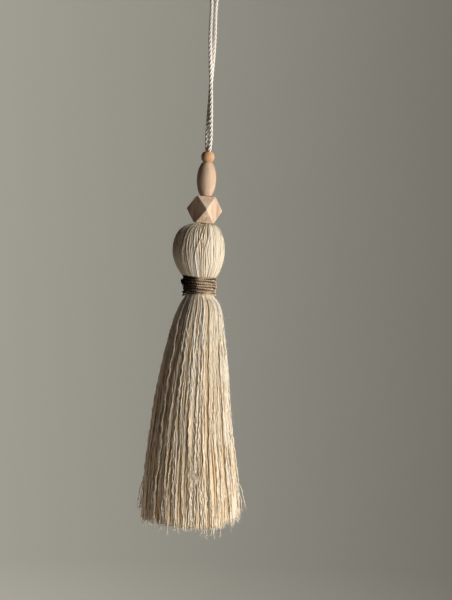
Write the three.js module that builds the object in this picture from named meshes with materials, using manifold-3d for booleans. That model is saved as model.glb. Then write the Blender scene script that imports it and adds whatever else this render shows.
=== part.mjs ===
// A beaded tassel as it hangs: a loop of twisted cord, three wooden beads threaded on it, a round head
// of folded yarn, the twine that binds its neck, and a skirt of hanging yarn strands.
// Millimetres, +Z up. The origin is where the loop bears on its hook, and the front faces -Y.
import * as THREE from "three";
import { ConvexGeometry } from "three/addons/geometries/ConvexGeometry.js";
import { mergeVertices } from "three/addons/utils/BufferGeometryUtils.js";
import Module from "manifold-3d";

const wasm = await Module();
wasm.setup();

// Driving dimensions
const GAP = 0.3; // clearance between neighbouring pieces
const LOOP_HEIGHT = 134; // from the hook down to the first bead

const CORD_DIAMETER = 2.4;
const CORD_GROOVE = 0.32; // how far the sides lie below the three plies' ridges
const CORD_LAY = 10.5; // length of one full turn of the plies
const CORD_STEPS_PER_TURN = 6;

const BORE_RADIUS = CORD_DIAMETER + 1.5 * GAP; // two legs of the cord side by side, with clearance
const ROUND_BEAD_RADIUS = 5;
const ROUND_BEAD_SWAY = 0.8; // shift to the side, as the bead hangs on the bowed cord
const OVAL_BEAD_LENGTH = 24.6;
const OVAL_BEAD_RADIUS = 7.2;
const OVAL_BEAD_END_RADIUS = 3.9;
const OVAL_BEAD_SWAY = 0.6;
const FACETED_BEAD_HEIGHT = 19.6;
const FACETED_BEAD_SWAY = 0.2;
const FACETED_BEAD_BLUNTING = 0.05; // share of each edge taken off at a corner
const FACETED_BEAD_TURN = 8; // degrees from corner-on, as it sits on the cord
const FACETED_BEAD_TILT = 2; // degrees, right side down
const BEAD_SIDES = 28;

const PIT_DEPTH = 3; // how far the cord's ends sit in the crown of the head
const HEAD_RIDGES = 30; // bundles of yarn round the head
const BINDING_TURNS = 7;
const BINDING_HEIGHT = 14.5;
const TWINE_THICKNESS = 1.8;
const BINDING_SECTIONS = 32; // steps round the neck
const KNOT_ANGLE = 188; // degrees from +X, where the twine is knotted
const KNOT_WIDTH = 14; // degrees
const KNOT_BULGE = 1.5;
const SKIRT_LENGTH = 171; // from the binding's lower edge to the hem

// Levels, from the first bead down
const ROUND_BEAD_HEIGHT = 2 * Math.sqrt(ROUND_BEAD_RADIUS ** 2 - BORE_RADIUS ** 2);
const TILT = THREE.MathUtils.degToRad(FACETED_BEAD_TILT);
const ROUND_BEAD_Z = -LOOP_HEIGHT - ROUND_BEAD_HEIGHT / 2;
const OVAL_BEAD_Z = -LOOP_HEIGHT - ROUND_BEAD_HEIGHT - GAP - OVAL_BEAD_LENGTH / 2;
const FACETED_BEAD_TOP = OVAL_BEAD_Z - OVAL_BEAD_LENGTH / 2 - GAP - OVAL_BEAD_END_RADIUS * Math.sin(TILT);
const FACETED_BEAD_Z = FACETED_BEAD_TOP - FACETED_BEAD_HEIGHT / 2;
const CROWN_Z = FACETED_BEAD_TOP - FACETED_BEAD_HEIGHT - GAP;

// The route of one leg of the cord, from its end in the crown up to the top of the loop. The other leg
// is the same after a half turn about the line between them, which bows to the side by sway.
const CORD_LEG = [
  { x: 0.85, y: -1.05, z: CROWN_Z - PIT_DEPTH + GAP, sway: 0.1 },
  { x: 0.85, y: -1.05, z: -163, sway: 0.45 },
  { x: 0.85, y: -1.05, z: -137, sway: 0.8 },
  { x: 1.25, y: -0.65, z: -129.5, sway: 0.88 },
  { x: 1.4, y: -0.55, z: -123, sway: 0.9 },
  { x: 1.25, y: -0.9, z: -115, sway: 0.85 },
  { x: 0.9, y: -1.2, z: -105, sway: 0.8 },
  { x: 0.5, y: -1.4, z: -95, sway: 0.75 },
  { x: 0.1, y: -1.48, z: -86, sway: 0.6 },
  { x: -0.4, y: -1.43, z: -77, sway: 0.5 },
  { x: -0.9, y: -1.2, z: -69, sway: 0.4 },
  { x: -1.4, y: -0.7, z: -59, sway: 0.25 },
  { x: -1.65, y: -0.15, z: -49, sway: 0.1 },
  { x: -1.6, y: 0, z: -39, sway: 0 },
  { x: -1.5, y: 0, z: -29, sway: 0 },
  { x: -1.85, y: 0, z: -22, sway: 0 },
  { x: -3.1, y: 0, z: -15.2, sway: 0 },
  { x: -4.75, y: 0, z: -9, sway: 0 },
  { x: -5.3, y: 0, z: -4.4, sway: 0 },
  { x: -4.65, y: 0, z: -1.3, sway: 0 },
  { x: -2.8, y: 0, z: 0.6, sway: 0 },
  { x: 0, y: 0, z: CORD_DIAMETER / 2, sway: 0 },
];

// The yarn head, neck and shoulder, from the crown down. drop is below the crown, ridge is half the
// height of the yarn ridges and sway is the shift to the side.
const BINDING_DROP = 40; // top of the binding, below the crown
const SHOULDER_DROP = BINDING_DROP + BINDING_HEIGHT;
const HEAD_ROWS = [
  { drop: PIT_DEPTH, radius: BORE_RADIUS + GAP, ridge: 0, sway: 0 },
  { drop: 0.1, radius: BORE_RADIUS + GAP, ridge: 0, sway: 0 },
  { drop: 0.3, radius: 8.4, ridge: 0.1, sway: -0.4 },
  { drop: 2.3, radius: 12.4, ridge: 0.4, sway: -1.2 },
  { drop: 6.2, radius: 15.7, ridge: 0.5, sway: -1.8 },
  { drop: 12.0, radius: 18.2, ridge: 0.55, sway: -2.0 },
  { drop: 19.6, radius: 19.1, ridge: 0.55, sway: -2.0 },
  { drop: 26.0, radius: 18.5, ridge: 0.55, sway: -1.8 },
  { drop: 32.0, radius: 16.5, ridge: 0.5, sway: -1.4 },
  { drop: 37.4, radius: 14.0, ridge: 0.4, sway: -0.9 },
  { drop: BINDING_DROP - GAP - 0.5, radius: 13.0, ridge: 0.3, sway: -0.7 },
  { drop: BINDING_DROP - GAP, radius: 10.9, ridge: 0.1, sway: -0.7 },
  { drop: SHOULDER_DROP + GAP, radius: 10.1, ridge: 0.1, sway: -0.4 },
  { drop: SHOULDER_DROP + GAP + 0.5, radius: 12.2, ridge: 0.3, sway: -0.4 },
  { drop: SHOULDER_DROP + 4.6, radius: 14.9, ridge: 0.4, sway: -0.3 },
  { drop: SHOULDER_DROP + 9.2, radius: 16.6, ridge: 0.35, sway: -0.3 },
  { drop: SHOULDER_DROP + 9.2, radius: 3, ridge: 0, sway: -0.3 },
];

// The skirt's outline. drop is below the binding, wave is how far its strands wander there.
const SKIRT_ROWS = [
  { drop: 7, radius: 16.4, wave: 0, sway: -0.3 },
  { drop: 22, radius: 20.3, wave: 0.4, sway: -0.4 },
  { drop: 50, radius: 24.5, wave: 0.9, sway: -1.0 },
  { drop: 84, radius: 28.9, wave: 1.2, sway: -1.5 },
  { drop: 118, radius: 33.3, wave: 1.4, sway: -1.3 },
  { drop: 148, radius: 36.9, wave: 1.5, sway: -0.6 },
  { drop: SKIRT_LENGTH, radius: 38.6, wave: 1.4, sway: 0 },
];

// Rings of strands in the skirt, from the outside in. share is of the skirt's radius, depth is half the
// strands' thickness towards the axis, as a share too, and every is how many of the rows they skip to.
const STRAND_RINGS = [
  { share: 0.957, depth: 0.043, strands: 66, every: 1 },
  { share: 0.83, depth: 0.045, strands: 54, every: 2 },
  { share: 0.69, depth: 0.05, strands: 42, every: 2 },
  { share: 0.52, depth: 0.06, strands: 28, every: 2 },
  { share: 0.32, depth: 0.06, strands: 16, every: 3 },
  { share: 0.12, depth: 0.05, strands: 6, every: 3 },
];
const STRAND_GAP_SHARE = 0.23; // of the pitch between neighbours in a ring
const HEM_RISE = 5; // how much shorter the outermost strands hang
const HEM_UNEVENNESS = 2.2;

// A number between -1 and 1 that looks random and is the same on every run.
function scatter(seed) {
  const value = Math.sin(seed * 127.1 + 11.7) * 43758.5453;
  return 2 * (value - Math.floor(value)) - 1;
}

// A closed body through rings of points, each counter-clockwise about the way the rings run.
// A body that is joined runs round to its first ring, and any other has flat ends.
function loft(rings, joined = false) {
  const sides = rings[0].length;
  const spans = joined ? rings.length : rings.length - 1;
  const index = [];
  for (let i = 0; i < spans; i++) {
    const near = i * sides;
    const far = ((i + 1) % rings.length) * sides;
    for (let j = 0; j < sides; j++) {
      const k = (j + 1) % sides;
      index.push(near + j, near + k, far + k);
      index.push(near + j, far + k, far + j);
    }
  }
  if (!joined) {
    const last = (rings.length - 1) * sides;
    for (let j = 1; j < sides - 1; j++) {
      index.push(0, j + 1, j);
      index.push(last, last + j, last + j + 1);
    }
  }
  const geometry = new THREE.BufferGeometry().setFromPoints(rings.flat());
  geometry.setIndex(index);
  return geometry;
}

function toManifold(geometry) {
  const bare = geometry.clone();
  bare.deleteAttribute("normal");
  bare.deleteAttribute("uv");
  const merged = mergeVertices(bare, 1e-4);
  return new wasm.Manifold(new wasm.Mesh({
    numProp: 3,
    vertProperties: new Float32Array(merged.attributes.position.array),
    triVerts: new Uint32Array(merged.index.array),
  }));
}

function toGeometry(manifold) {
  const mesh = manifold.getMesh();
  const geometry = new THREE.BufferGeometry();
  geometry.setAttribute("position", new THREE.BufferAttribute(mesh.vertProperties, 3));
  geometry.setIndex(new THREE.BufferAttribute(mesh.triVerts, 1));
  return geometry;
}

function addNode(group, name, geometry, color) {
  const mesh = new THREE.Mesh(geometry, new THREE.MeshStandardMaterial({ color, roughness: 0.9 }));
  mesh.name = name;
  group.add(mesh);
  return mesh;
}

// The cord: a three-cornered section turned along the loop, plain where the beads hide it.
function hangingCord() {
  const leg = CORD_LEG.map((row) => new THREE.Vector3(row.sway + row.x, row.y, row.z));
  const otherLeg = CORD_LEG.map((row) => new THREE.Vector3(row.sway - row.x, -row.y, row.z));
  otherLeg.pop();
  otherLeg.reverse();
  const route = new THREE.CatmullRomCurve3([...leg, ...otherLeg], false, "catmullrom", 0.5);
  route.arcLengthDivisions = 2000;
  const length = route.getLength();
  const steps = Math.round((length * CORD_STEPS_PER_TURN) / CORD_LAY);
  const frames = route.computeFrenetFrames(steps, false);
  const hiddenBelow = -LOOP_HEIGHT - 2;
  const rings = [];
  let turn = 0;
  for (let i = 0; i <= steps; i++) {
    const centre = route.getPointAt(i / steps);
    const hidden = centre.z < hiddenBelow;
    if (hidden && i > 0 && i < steps) continue;
    if (!hidden) turn += (2 * Math.PI) / CORD_STEPS_PER_TURN;
    const ring = [];
    for (let j = 0; j < 6; j++) {
      const angle = turn + (j * Math.PI) / 3;
      const radius = CORD_DIAMETER / 2 - (j % 2) * CORD_GROOVE;
      const point = centre.clone();
      point.addScaledVector(frames.normals[i], radius * Math.cos(angle));
      point.addScaledVector(frames.binormals[i], radius * Math.sin(angle));
      ring.push(point);
    }
    rings.push(ring);
  }
  return loft(rings);
}

// A bead turned about its bore, from the half outline of its outside, top to bottom.
function turnedBead(outline) {
  const top = outline[0];
  const bottom = outline[outline.length - 1];
  const profile = [
    ...outline,
    new THREE.Vector2(BORE_RADIUS, bottom.y),
    new THREE.Vector2(BORE_RADIUS, top.y),
    top.clone(),
  ].reverse();
  return new THREE.LatheGeometry(profile, BEAD_SIDES).rotateX(Math.PI / 2);
}

function roundBead() {
  const rim = Math.asin(BORE_RADIUS / ROUND_BEAD_RADIUS) + 0.06;
  const steps = 8;
  const outline = [];
  for (let i = 0; i <= steps; i++) {
    const angle = rim + ((Math.PI - 2 * rim) * i) / steps;
    outline.push(new THREE.Vector2(Math.sin(angle), Math.cos(angle)).multiplyScalar(ROUND_BEAD_RADIUS));
  }
  return turnedBead(outline);
}

function ovalBead() {
  const half = OVAL_BEAD_LENGTH / 2;
  const reach = half / Math.sqrt(1 - (OVAL_BEAD_END_RADIUS / OVAL_BEAD_RADIUS) ** 2);
  const steps = 12;
  const outline = [];
  for (let i = 0; i <= steps; i++) {
    const height = half * Math.cos((Math.PI * i) / steps);
    outline.push(new THREE.Vector2(OVAL_BEAD_RADIUS * Math.sqrt(1 - (height / reach) ** 2), height));
  }
  return turnedBead(outline);
}

// A cuboctahedron standing on a square face, its twelve corners blunted, drilled from top to bottom.
function facetedBead() {
  const half = FACETED_BEAD_HEIGHT / 2;
  const corners = [];
  for (const a of [-half, half]) {
    for (const b of [-half, half]) {
      corners.push(new THREE.Vector3(a, b, 0), new THREE.Vector3(a, 0, b), new THREE.Vector3(0, a, b));
    }
  }
  const edge = half * Math.SQRT2;
  const points = [];
  for (const from of corners) {
    for (const to of corners) {
      if (Math.abs(from.distanceTo(to) - edge) < 0.01) points.push(from.clone().lerp(to, FACETED_BEAD_BLUNTING));
    }
  }
  const radius = BORE_RADIUS + half * Math.sin(TILT);
  const drill = new THREE.CylinderGeometry(radius, radius, 2 * FACETED_BEAD_HEIGHT, 24).rotateX(Math.PI / 2);
  return toGeometry(toManifold(new ConvexGeometry(points)).subtract(toManifold(drill)));
}

// The yarn's head, neck and shoulder: rings with a ridge for each bundle of yarn, uneven in height.
function yarnHead() {
  const sides = 2 * HEAD_RIDGES;
  const rings = HEAD_ROWS.map((row) => {
    const ring = [];
    for (let j = 0; j < sides; j++) {
      const drift = 0.25 * Math.sin(row.drop / 9 + 1.7 * j) + 0.2 * scatter(j);
      const angle = ((j + drift * Math.min(1, row.ridge * 2)) * 2 * Math.PI) / sides;
      const side = j % 2 === 0 ? 1 : -1;
      const radius = row.radius + side * row.ridge * (0.8 + 0.35 * scatter(j + 40));
      ring.push(new THREE.Vector3(
        row.sway + radius * Math.cos(angle),
        radius * Math.sin(angle),
        CROWN_Z - row.drop,
      ));
    }
    return ring;
  });
  return loft(rings.reverse());
}

// One strand: a three-sided body down the skirt's rows, its ridge outward. Its neighbours wander alike,
// so that the strands stay apart.
function skirtStrand(ring, index, number) {
  const start = (2 * Math.PI * (index + 0.5 * (number % 2))) / ring.strands;
  const shorter = HEM_RISE * ring.share ** 4 + HEM_UNEVENNESS * scatter(start * 31 + number);
  const rows = SKIRT_ROWS.filter((row, i) => i % ring.every === 0);
  const rings = rows.map((row) => {
    const drop = row.drop === SKIRT_LENGTH ? row.drop - shorter : row.drop;
    const middle = ring.share * (row.radius + 0.4 * row.wave * Math.sin(3 * start + row.drop / 15));
    const wander = Math.sin(2 * start + row.drop / 13) + 0.07 * scatter(start * 17 + row.drop);
    const shift = (row.wave * wander) / row.radius;
    const halfAngle = ((1 - STRAND_GAP_SHARE) * Math.PI) / ring.strands;
    const depth = ring.depth * row.radius;
    const corner = (radius, angle) => new THREE.Vector3(
      row.sway + radius * Math.cos(start + shift + angle),
      radius * Math.sin(start + shift + angle),
      CROWN_Z - SHOULDER_DROP - drop,
    );
    return [
      corner(middle + depth, 0),
      corner(middle - depth, halfAngle),
      corner(middle - depth, -halfAngle),
    ];
  });
  return loft(rings.reverse());
}

function yarnTassel() {
  let tassel = toManifold(yarnHead());
  STRAND_RINGS.forEach((ring, number) => {
    for (let index = 0; index < ring.strands; index++) {
      tassel = tassel.add(toManifold(skirtStrand(ring, index, number)));
    }
  });
  return toGeometry(tassel);
}

// The wound twine: a band round the neck with a ridge for each turn, uneven, and a knot on one side.
function bindingTwine() {
  const neckTop = HEAD_ROWS.find((row) => row.drop === BINDING_DROP - GAP);
  const neckFoot = HEAD_ROWS.find((row) => row.drop === SHOULDER_DROP + GAP);
  const pitch = BINDING_HEIGHT / BINDING_TURNS;
  const ease = neckTop.ridge * 1.15 + GAP;
  const sections = [];
  for (let i = 0; i < BINDING_SECTIONS; i++) {
    const angle = (2 * Math.PI * i) / BINDING_SECTIONS;
    const fromKnot = THREE.MathUtils.radToDeg(angle) - KNOT_ANGLE;
    const knot = KNOT_BULGE * Math.exp(-((fromKnot / KNOT_WIDTH) ** 2));
    const at = (level, out) => {
      const sway = THREE.MathUtils.lerp(neckTop.sway, neckFoot.sway, level / BINDING_HEIGHT);
      const radius = THREE.MathUtils.lerp(neckTop.radius, neckFoot.radius, level / BINDING_HEIGHT) + ease + out;
      return new THREE.Vector3(
        sway + radius * Math.cos(angle),
        radius * Math.sin(angle),
        CROWN_Z - BINDING_DROP - level,
      );
    };
    const section = [at(BINDING_HEIGHT, 0), at(0, 0), at(0, 0.6 * TWINE_THICKNESS)];
    for (let turn = 0; turn < BINDING_TURNS; turn++) {
      const slant = 0.35 * Math.sin(angle + 2.4 * turn);
      const isInner = turn > 0 && turn < BINDING_TURNS - 1;
      const level = (turn + 0.5) * pitch + (isInner ? slant : 0);
      const bulge = turn < 2 ? knot : 0;
      const height = TWINE_THICKNESS * (0.95 + 0.08 * scatter(turn * 7 + i * 0.1)) + bulge;
      section.push(at(level, height));
      const isLast = turn === BINDING_TURNS - 1;
      section.push(at(isLast ? BINDING_HEIGHT : level + pitch / 2, (isLast ? 0.6 : 0.72) * TWINE_THICKNESS));
    }
    sections.push(section);
  }
  return loft(sections, true);
}

const tassel = new THREE.Group();
tassel.name = "beaded_tassel";
addNode(tassel, "hanging_cord", hangingCord(), 0xf1eadb);
addNode(tassel, "round_bead", roundBead(), 0xc98f5c).position.set(ROUND_BEAD_SWAY, 0, ROUND_BEAD_Z);
addNode(tassel, "oval_bead", ovalBead(), 0xc9b39a).position.set(OVAL_BEAD_SWAY, 0, OVAL_BEAD_Z);
const faceted = addNode(tassel, "faceted_bead", facetedBead(), 0xe0b98c);
faceted.position.set(FACETED_BEAD_SWAY, 0, FACETED_BEAD_Z);
faceted.rotation.set(0, TILT, THREE.MathUtils.degToRad(FACETED_BEAD_TURN - 45), "YXZ");
addNode(tassel, "yarn_tassel", yarnTassel(), 0xe8dcc0);
addNode(tassel, "binding_twine", bindingTwine(), 0x6b4a30);

export default tassel;
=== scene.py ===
"""A beaded tassel as it hangs: a loop of cord, three wooden beads, a bound head and a skirt of yarn."""

import math

import bpy
import numpy as np
from mathutils import Matrix, Vector


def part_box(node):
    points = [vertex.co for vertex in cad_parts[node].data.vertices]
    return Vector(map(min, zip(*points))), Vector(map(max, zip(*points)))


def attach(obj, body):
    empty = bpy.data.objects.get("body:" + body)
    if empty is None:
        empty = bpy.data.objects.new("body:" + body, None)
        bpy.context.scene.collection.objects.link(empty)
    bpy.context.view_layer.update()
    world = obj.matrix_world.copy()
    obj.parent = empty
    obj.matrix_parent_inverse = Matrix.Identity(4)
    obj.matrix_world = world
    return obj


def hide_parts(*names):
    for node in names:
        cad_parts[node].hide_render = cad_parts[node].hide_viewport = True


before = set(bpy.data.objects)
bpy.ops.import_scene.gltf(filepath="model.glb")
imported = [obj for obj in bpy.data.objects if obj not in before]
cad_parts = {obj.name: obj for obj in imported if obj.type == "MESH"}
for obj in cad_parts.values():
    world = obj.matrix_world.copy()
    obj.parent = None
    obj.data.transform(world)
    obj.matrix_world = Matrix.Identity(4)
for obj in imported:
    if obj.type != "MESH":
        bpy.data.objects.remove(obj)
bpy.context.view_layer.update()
rng = np.random.default_rng(7)
TURN = 2 * np.pi

# Sizes in metres, in the part's frame: the loop hangs at the origin, +Z is up and the front faces -Y.
CORD_DIAMETER = 0.0024
CORD_PLIES = 3
CORD_PLY_REACH = 0.335 * CORD_DIAMETER  # from the cord's line to a ply's
CORD_PLY_RADIUS = 0.265 * CORD_DIAMETER
CORD_LAY = 0.0105

BORE_RADIUS = 0.00285
BEAD_SIDES = 96
RIM = 0.0003  # rounding of a bead's edge at its bore
TOUCH = 0.00014  # how far the oval and faceted beads pass their solids' ends, to bear on their neighbours
OVAL_END_RADIUS = 0.0039
FACETED_HEIGHT = 0.0196
FACETED_SIDES = 144
FACETED_SLIM = 0.955  # across the bore, beside a regular form
FACETED_TURN = 8  # degrees from corner-on
FACETED_TILT = 2  # degrees, right side down
FACETED_HARDNESS = 90  # the higher, the sharper the edges

TWINE_RADIUS = 0.00058
TWINE_PLIES = 2
TWINE_PLY_REACH = 0.5 * TWINE_RADIUS
TWINE_PLY_RADIUS = 0.6 * TWINE_RADIUS
TWINE_LAY = 0.0032
TWINE_TURNS = 7
BINDING_RADII = (0.0124, 0.0122, 0.0119)  # at the top, a fifth of the way down and at the bottom
BINDING_SWAY = -0.0011
KNOT_ANGLE = 188  # degrees
KNOT_REACH = 0.0129  # from the binding's middle
KNOT_DROP = 0.0034  # below the binding's top
KNOT_SIZE = (0.0005, 0.0005, 0.0007)  # along the binding, up and outwards

CROWN_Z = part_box("yarn_tassel")[1].z
BINDING_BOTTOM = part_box("binding_twine")[0].z
BINDING_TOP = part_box("binding_twine")[1].z

# One leg of the cord from its end in the crown to the top of the loop: x, y, z and the sway of the line
# between the legs. The other leg is the same after a half turn about that line.
CORD_LEG = (
    (0.00085, -0.00105, -0.19015, 0.0001),
    (0.00085, -0.00105, -0.163, 0.00045),
    (0.00085, -0.00105, -0.137, 0.0008),
    (0.00125, -0.00065, -0.1295, 0.00088),
    (0.0014, -0.00055, -0.123, 0.0009),
    (0.00125, -0.0009, -0.115, 0.00085),
    (0.0009, -0.0012, -0.105, 0.0008),
    (0.0005, -0.0014, -0.095, 0.00075),
    (0.0001, -0.00148, -0.086, 0.0006),
    (-0.0004, -0.00143, -0.077, 0.0005),
    (-0.0009, -0.0012, -0.069, 0.0004),
    (-0.0014, -0.0007, -0.059, 0.00025),
    (-0.00165, -0.00015, -0.049, 0.0001),
    (-0.0016, 0, -0.039, 0),
    (-0.0015, 0, -0.029, 0),
    (-0.00185, 0, -0.022, 0),
    (-0.0031, 0, -0.0152, 0),
    (-0.00475, 0, -0.009, 0),
    (-0.0053, 0, -0.0044, 0),
    (-0.00465, 0, -0.0013, 0),
    (-0.0028, 0, 0.0006, 0),
    (0, 0, 0.0012, 0),
)
CORD_STEPS = 660

# The head's outside, from under the faceted bead to inside the binding: drop below the crown, radius, sway
HEAD_ROWS = (
    (0.0010, 0.0042, 0.0),
    (0.0004, 0.0072, -0.0003),
    (0.0013, 0.0104, -0.0008),
    (0.0032, 0.0133, -0.0016),
    (0.0062, 0.0158, -0.0023),
    (0.0120, 0.0184, -0.0026),
    (0.0196, 0.0194, -0.0027),
    (0.0260, 0.0188, -0.0025),
    (0.0320, 0.0169, -0.0020),
    (0.0370, 0.0144, -0.0014),
    (0.0396, 0.0124, -0.0010),
    (0.0415, 0.0112, -0.0006),
    (0.0450, 0.0108, -0.0006),
)

# The skirt's outside, from inside the binding to the hem: drop below the binding, radius, sway
SKIRT_ROWS = (
    (-0.0080, 0.0104, -0.0005),
    (-0.0020, 0.0104, -0.0004),
    (0.0006, 0.0114, -0.0003),
    (0.0022, 0.0128, 0.0),
    (0.0046, 0.0144, 0.0002),
    (0.0080, 0.0160, 0.0002),
    (0.0130, 0.0177, 0.0),
    (0.0220, 0.0196, -0.0007),
    (0.0500, 0.0243, -0.0016),
    (0.0840, 0.0288, -0.0021),
    (0.1050, 0.0314, -0.0019),
    (0.1220, 0.0336, -0.0012),
    (0.1480, 0.0362, -0.0001),
    (0.1740, 0.0372, 0.0010),
)
SKIRT_LENGTH = 0.1655
HEM_FRONT = 0.003  # how much lower the hem hangs where it is lowest
HEM_RIGHT = 0.0045  # how much higher it is cut on the right
HEM_INSIDE = 0.004  # how much lower the innermost yarns hang
LONGEST_ANGLE = 289  # degrees, where the hem hangs lowest
RIDGES = 16  # waves that make up the skirt's ridges
RIDGE_HEIGHT = 0.0005
RIDGE_RISE = 0.06  # drop over which the ridges grow to their height and bend aside

# Yarns: how thick they are, how tightly spun, how they wave, and how many lie in each layer
YARN_RADIUS = 0.00062
YARN_LAY = 0.0075
YARN_PACKING = 0.0022  # spacing of the cut ends that show underneath
LONG_WAVES = (0.07, 0.15)
SHORT_WAVES = (0.008, 0.015)
HEAD_YARNS = 100  # in each of two layers
PROUD_HEAD_YARNS = 26
CORE_YARNS = 120
BASE_YARNS = 270
LOOSE_YARNS = 150
LOCKS = 66
LOCK_YARNS = 2
FUZZ_RADIUS = 0.00006
CUT_FIBRE_RADIUS = 0.00017

# Yarns that stray out of the skirt near the hem: angle in degrees, how far the tip stands out, and the
# yarn's length less the skirt's
STRAY_YARNS = (
    (173, 0.0022, -0.0090),
    (182, 0.0034, -0.0120),
    (187, 0.0018, -0.0070),
    (357, 0.0046, -0.0115),
    (3, 0.0028, -0.0085),
    (62, 0.0030, -0.0080),
    (118, 0.0026, -0.0100),
    (236, 0.0020, -0.0060),
    (305, 0.0022, -0.0050),
)

# The camera stands level with the head, square to the front, and leans with the picture.
PHOTO_SIZE = (452, 600)
METRES_PER_PIXEL = 0.000745
CAMERA_DISTANCE = 1.5
CAMERA_HEIGHT = -0.207
CAMERA_AIM = (0.0194, 0, -0.2437)
CAMERA_ROLL = 2.74  # degrees
SENSOR = 36  # millimetres

# The stage: a floor, the round corner where it bends up, and a wall
FLOOR_Z = -1.5
FLOOR_RADIUS = 2.4
CORNER_RADIUS = 0.6
WALL_TOP = 4


def unit(vectors):
    return vectors / np.linalg.norm(vectors, axis=-1, keepdims=True)


def ease(values):
    """From 0 to 1, level at both ends."""
    clipped = np.clip(values, 0, 1)
    return clipped * clipped * (3 - 2 * clipped)


def run_along(points):
    """How far along a line each of its points lies."""
    return np.r_[0, np.cumsum(np.linalg.norm(np.diff(points, axis=0), axis=1))]


def line_length(points):
    return float(np.linalg.norm(np.diff(points, axis=0), axis=1).sum())


def smooth_line(rows, count):
    """Count evenly spaced points on a smooth curve through the rows."""
    rows = np.asarray(rows, float)
    padded = np.vstack([2 * rows[0] - rows[1], rows, 2 * rows[-1] - rows[-2]])
    spans = len(rows) - 1
    steps_per_span = 40
    at = np.linspace(0, spans, steps_per_span * spans + 1)
    span = np.minimum(at.astype(int), spans - 1)
    t = (at - span)[:, None]
    a, b, c, d = (padded[span + i] for i in range(4))
    dense = b + 0.5 * t * (c - a + t * (2 * a - 5 * b + 4 * c - d + t * (3 * b - a - 3 * c + d)))
    run = run_along(dense)
    even = np.linspace(0, run[-1], count)
    return np.column_stack([np.interp(even, run, dense[:, i]) for i in range(rows.shape[1])])


def even_angles(count):
    return TURN * np.arange(count) / count


def scattered_angles(count):
    """Angles all round, each a little off its even place."""
    return TURN * (np.arange(count) + rng.uniform(-0.4, 0.4, count)) / count


def around(angle):
    """Level directions at angles about the Z axis."""
    return np.stack([np.cos(angle), np.sin(angle), np.zeros_like(angle)], axis=-1)


def level_rings(radius, height, sides):
    """Rings of points about the Z axis, with a radius and height for each ring or each of its points."""
    count = len(radius)
    rings = np.empty((count, sides, 3))
    rings[..., :2] = np.reshape(radius, (count, -1, 1)) * around(even_angles(sides))[:, :2]
    rings[..., 2] = np.reshape(height, (count, -1))
    return rings


# Meshes

def add_mesh(name, points, quads, triangles=None, corners=None):
    """A smooth-shaded mesh object from arrays. corners gives the map place of every face corner."""
    triangles = np.empty((0, 3), int) if triangles is None else triangles
    mesh = bpy.data.meshes.new(name)
    loops = np.concatenate([quads.ravel(), triangles.ravel()])
    starts = np.concatenate([
        4 * np.arange(len(quads)),
        4 * len(quads) + 3 * np.arange(len(triangles)),
    ])
    mesh.vertices.add(len(points))
    mesh.vertices.foreach_set("co", points.astype(np.float32).ravel())
    mesh.loops.add(len(loops))
    mesh.loops.foreach_set("vertex_index", loops.astype(np.int32))
    mesh.polygons.add(len(starts))
    mesh.polygons.foreach_set("loop_start", starts.astype(np.int32))
    mesh.polygons.foreach_set("use_smooth", np.ones(len(starts), bool))
    if corners is not None:
        layer = mesh.uv_layers.new(name="OFBake")
        layer.uv.foreach_set("vector", corners.astype(np.float32).ravel())
    mesh.update(calc_edges=True)
    mesh.validate()
    piece = bpy.data.objects.new(name, mesh)
    bpy.context.collection.objects.link(piece)
    return piece


def add_numbers(piece, name, values):
    """One number at each point of a piece, for its material."""
    attribute = piece.data.attributes.new(name, "FLOAT", "POINT")
    attribute.data.foreach_set("value", values.astype(np.float32).ravel())


def tube_faces(tubes, steps, sides):
    """The faces of closed tubes: quads along them, and triangles to a point in the middle of each end."""
    base = np.arange(tubes)[:, None, None] * (steps * sides + 2)
    step = np.arange(steps - 1)[None, :, None]
    side = np.arange(sides)[None, None, :]
    following = (side + 1) % sides
    near = base + step * sides
    far = near + sides
    quads = np.stack([near + side, near + following, far + following, far + side], axis=-1)
    base, side, following = base[:, 0], side[0], following[0]
    first = base + steps * sides
    last_ring = base + (steps - 1) * sides
    head = np.stack(np.broadcast_arrays(first, base + following, base + side), axis=-1)
    tail = np.stack(np.broadcast_arrays(first + 1, last_ring + side, last_ring + following), axis=-1)
    return quads.reshape(-1, 4), np.stack([head, tail], axis=1).reshape(-1, 3)


def tube_places(tubes, steps, sides):
    """The map place of every face corner of closed tubes, each tube in a cell with a margin round it."""
    columns = min(tubes, 120)
    lines = math.ceil(tubes / columns)
    number = np.arange(tubes)
    cell = np.array([number % columns, number // columns], float).T

    def place(round_share, along_share):
        inner = np.broadcast_arrays(0.08 + 0.84 * round_share, 0.03 + 0.94 * along_share)
        inner = np.stack(inner, axis=-1)
        return (cell.reshape(tubes, *[1] * (inner.ndim - 2), 2) + inner) / (columns, lines)

    step = np.arange(steps - 1)[None, :, None]
    side = np.arange(sides)[None, None, :]
    every_tube = np.zeros((tubes, 1, 1))
    low, high = side / sides + every_tube, (side + 1) / sides + every_tube
    near, far = (0.01 + 0.98 * (step + i) / (steps - 1) for i in range(2))
    quads = np.stack([place(low, near), place(high, near), place(high, far), place(low, far)], axis=-2)
    low, high = low[:, 0], high[:, 0]
    middle = (low + high) / 2
    head = np.stack([place(middle, 0.0), place(high, 0.01), place(low, 0.01)], axis=-2)
    tail = np.stack([place(middle, 1.0), place(low, 0.99), place(high, 0.99)], axis=-2)
    ends = np.stack([head, tail], axis=1)
    return np.concatenate([quads.reshape(-1, 2), ends.reshape(-1, 2)])


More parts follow.
